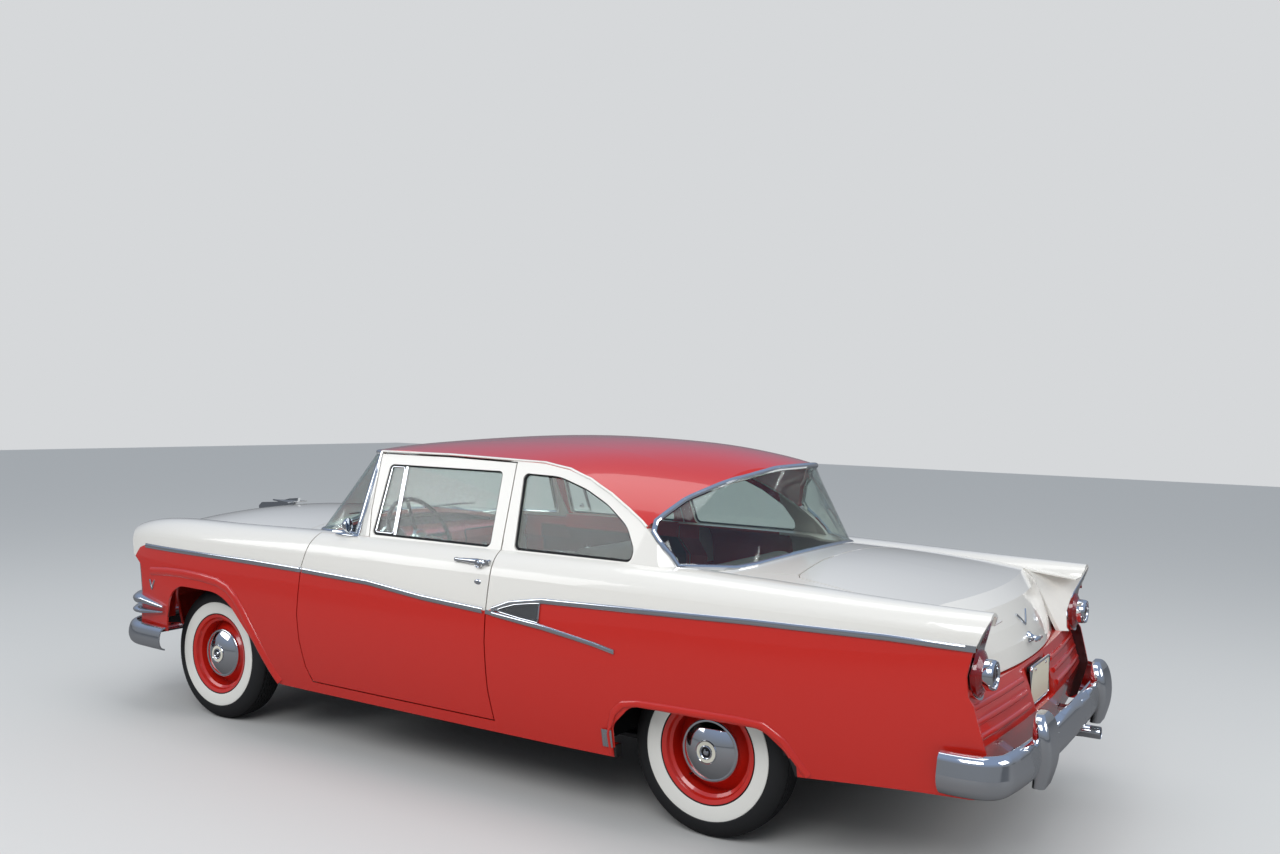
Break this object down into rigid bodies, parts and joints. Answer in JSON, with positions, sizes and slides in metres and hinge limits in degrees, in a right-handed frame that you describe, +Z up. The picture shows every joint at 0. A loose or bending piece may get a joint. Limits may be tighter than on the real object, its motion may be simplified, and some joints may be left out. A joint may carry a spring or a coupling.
{
  "type": "1950s classic car, two-door sedan",
  "caption": "Full-size two-door sedan with tail fins, wraparound glass, opening doors, hood and trunk, steering and wheels that turn.",
  "frame": {"origin": "on the ground under the tyres, at the middle of the car's length and width", "axes": "+X towards the front bumper, +Y to the car's left, +Z up"},
  "size_m": [5.0522, 1.9272, 1.5622],
  "materials": {
    "body_white": "gloss",
    "body_red": "gloss",
    "wheel_red": "gloss",
    "chrome": "polished",
    "chassis_black": "satin",
    "cast_iron": "matte",
    "steel": "satin",
    "tyre": "matte",
    "interior_red": "satin",
    "black_plastic": "gloss",
    "seat_cloth": "matte",
    "lens_red": "gloss",
    "glass": "polished"
  },
  "bodies": {
    "body": {"body_trim": "chrome", "chassis_frame": "chassis_black", "cowl": "body_white", "dashboard": "interior_red", "engine_block": "cast_iron", "exhaust": "steel", "fender_left": "body_white", "fender_right": "body_white", "floor_pan": "body_red", "front_bumper": "chrome", "front_panel": "body_red", "front_seat": "seat_cloth", "front_suspension": "chassis_black", "fuel_tank": "chassis_black", "gearbox_and_shaft": "cast_iron", "grille": "chrome", "headlamp_lenses": "glass", "headlamp_rims": "chrome", "leaf_springs": "chassis_black", "parcel_shelf": "interior_red", "quarter_glass": "glass", "quarter_left": "body_white", "quarter_right": "body_white", "rear_axle": "chassis_black", "rear_bumper": "chrome", "rear_deck": "body_white", "rear_seat": "seat_cloth", "rear_window": "glass", "roof": "body_red", "steering_column": "interior_red", "tail_lamp_lenses": "lens_red", "tail_lamp_pods": "chrome", "tail_panel": "body_red", "windshield": "glass"},
    "door_left": {"door_left": "body_white", "door_glass_left": "glass", "door_trim_left": "chrome"},
    "door_right": {"door_right": "body_white", "door_glass_right": "glass", "door_trim_right": "chrome"},
    "hood": {"hood_panel": "body_white", "hood_ornament": "chrome"},
    "trunk_lid": {"trunk_lid": "body_white", "trunk_handle": "chrome"},
    "steering_wheel": {"steering_wheel": "black_plastic"},
    "knuckle_left": {"knuckle_left": "chassis_black"},
    "knuckle_right": {"knuckle_right": "chassis_black"},
    "wheel_front_left": {"tyre_front_left": "tyre", "rim_front_left": "wheel_red", "hub_cap_front_left": "chrome"},
    "wheel_front_right": {"tyre_front_right": "tyre", "rim_front_right": "wheel_red", "hub_cap_front_right": "chrome"},
    "wheel_rear_left": {"tyre_rear_left": "tyre", "rim_rear_left": "wheel_red", "hub_cap_rear_left": "chrome"},
    "wheel_rear_right": {"tyre_rear_right": "tyre", "rim_rear_right": "wheel_red", "hub_cap_rear_right": "chrome"}
  },
  "joints": [
    {"name": "door_left_hinge", "type": "hinge", "parent": "body", "child": "door_left", "pos_m": [0.903, 0.95, 0.7], "axis": [0, 0, -1], "range_deg": [0, 65]},
    {"name": "door_right_hinge", "type": "hinge", "parent": "body", "child": "door_right", "pos_m": [0.903, -0.95, 0.7], "axis": [0, 0, 1], "range_deg": [0, 65]},
    {"name": "hood_hinge", "type": "hinge", "parent": "body", "child": "hood", "pos_m": [1.197, 0, 1.0955], "axis": [0, -1, 0], "range_deg": [0, 48]},
    {"name": "trunk_hinge", "type": "hinge", "parent": "body", "child": "trunk_lid", "pos_m": [-1.5093, 0, 1.0845], "axis": [0, 1, 0], "range_deg": [0, 55]},
    {"name": "steering_wheel_turn", "type": "hinge", "parent": "body", "child": "steering_wheel", "pos_m": [0.69, 0.37, 1.005], "axis": [-0.8829, 0, 0.4695], "range_deg": [-810, 810]},
    {"name": "steer_left", "type": "hinge", "parent": "body", "child": "knuckle_left", "pos_m": [1.681, 0.645, 0.345], "axis": [0, 0, 1], "range_deg": [-32.5, 32.5]},
    {"name": "steer_right", "type": "hinge", "parent": "body", "child": "knuckle_right", "pos_m": [1.681, -0.645, 0.345], "axis": [0, 0, 1], "range_deg": [-32.5, 32.5]},
    {"name": "spin_front_left", "type": "hinge", "parent": "knuckle_left", "child": "wheel_front_left", "pos_m": [1.681, 0.7365, 0.345], "axis": [0, 1, 0], "continuous": true},
    {"name": "spin_front_right", "type": "hinge", "parent": "knuckle_right", "child": "wheel_front_right", "pos_m": [1.681, -0.7365, 0.345], "axis": [0, 1, 0], "continuous": true},
    {"name": "spin_rear_left", "type": "hinge", "parent": "body", "child": "wheel_rear_left", "pos_m": [-1.253, 0.711, 0.345], "axis": [0, 1, 0], "continuous": true},
    {"name": "spin_rear_right", "type": "hinge", "parent": "body", "child": "wheel_rear_right", "pos_m": [-1.253, -0.711, 0.345], "axis": [0, 1, 0], "continuous": true}
  ],
  "couplings": [
    {"joint": "steer_left", "follows": "steering_wheel_turn", "ratio": 0.04},
    {"joint": "steer_right", "follows": "steering_wheel_turn", "ratio": 0.04}
  ]
}
